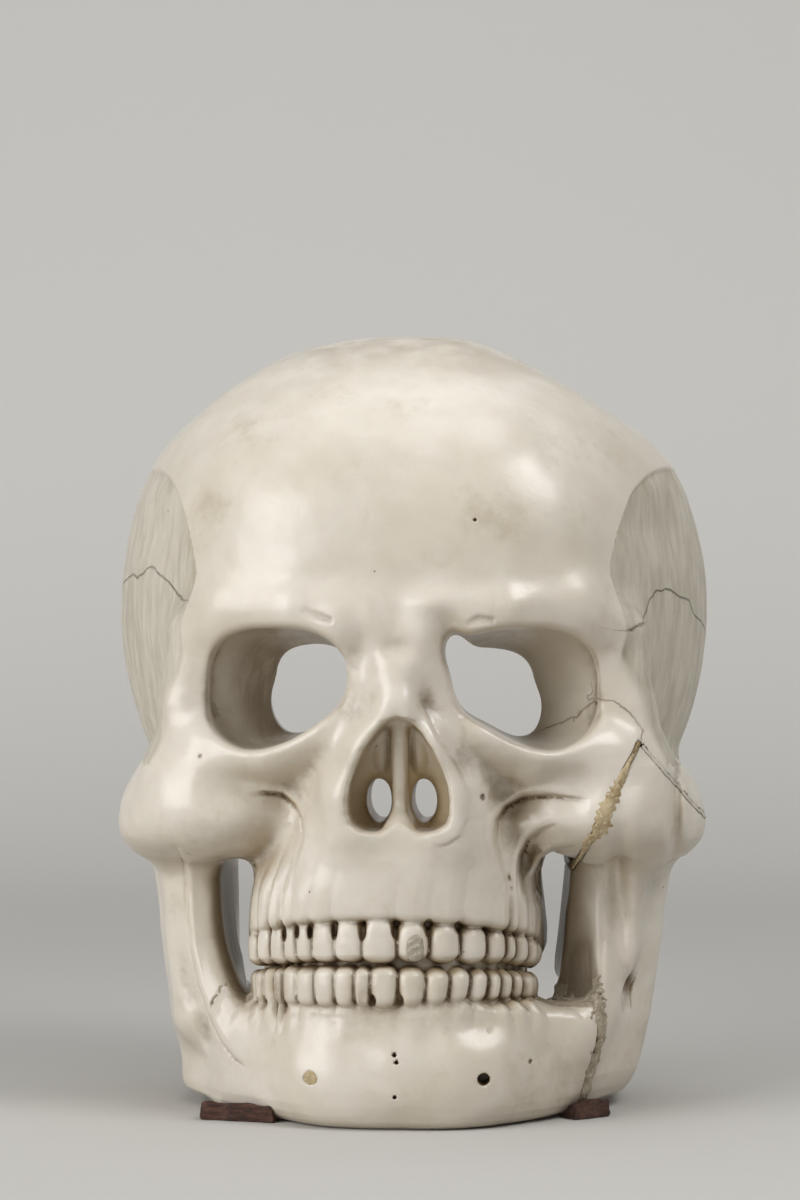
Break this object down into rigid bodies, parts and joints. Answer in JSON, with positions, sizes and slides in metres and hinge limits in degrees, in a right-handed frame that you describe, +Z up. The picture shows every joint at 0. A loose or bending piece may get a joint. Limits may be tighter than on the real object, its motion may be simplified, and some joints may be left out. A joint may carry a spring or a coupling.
{
  "type": "marble skull sculpture",
  "caption": "Human skull carved in marble as a deep relief with a flat, hollowed back, its right arch and jaw pinned and mortared on again, on two thin wedges.",
  "frame": {"origin": "middle of the bounding box at its underside, which is the flat of the chin", "axes": "+X to the viewer's right, +Y from the face towards the flat back, +Z up"},
  "size_m": [0.3118, 0.1892, 0.3997],
  "materials": {
    "marble": "ivory marble, hand rubbed, brown patina in the recesses, greyer tooled temples",
    "lime_mortar": "rough yellowish lime mortar, uneven and sandy",
    "pin_steel": "dark drawn iron rod, hidden in the stone",
    "wedge_wood": "reddish brown split wood, rough and unvarnished"
  },
  "bodies": {
    "root": {"skull_block": "marble", "arch_ramus_fragment": "marble", "cheek_seam_mortar": "lime_mortar", "arch_root_mortar": "lime_mortar", "jaw_seam_mortar": "lime_mortar", "cheek_pin": "pin_steel", "arch_root_pin": "pin_steel", "jaw_pin_upper": "pin_steel", "jaw_pin_lower": "pin_steel", "mental_hole_plug": "lime_mortar", "incisor_patch": "lime_mortar", "support_wedge_left": "wedge_wood", "support_wedge_right": "wedge_wood"}
  },
  "joints": []
}
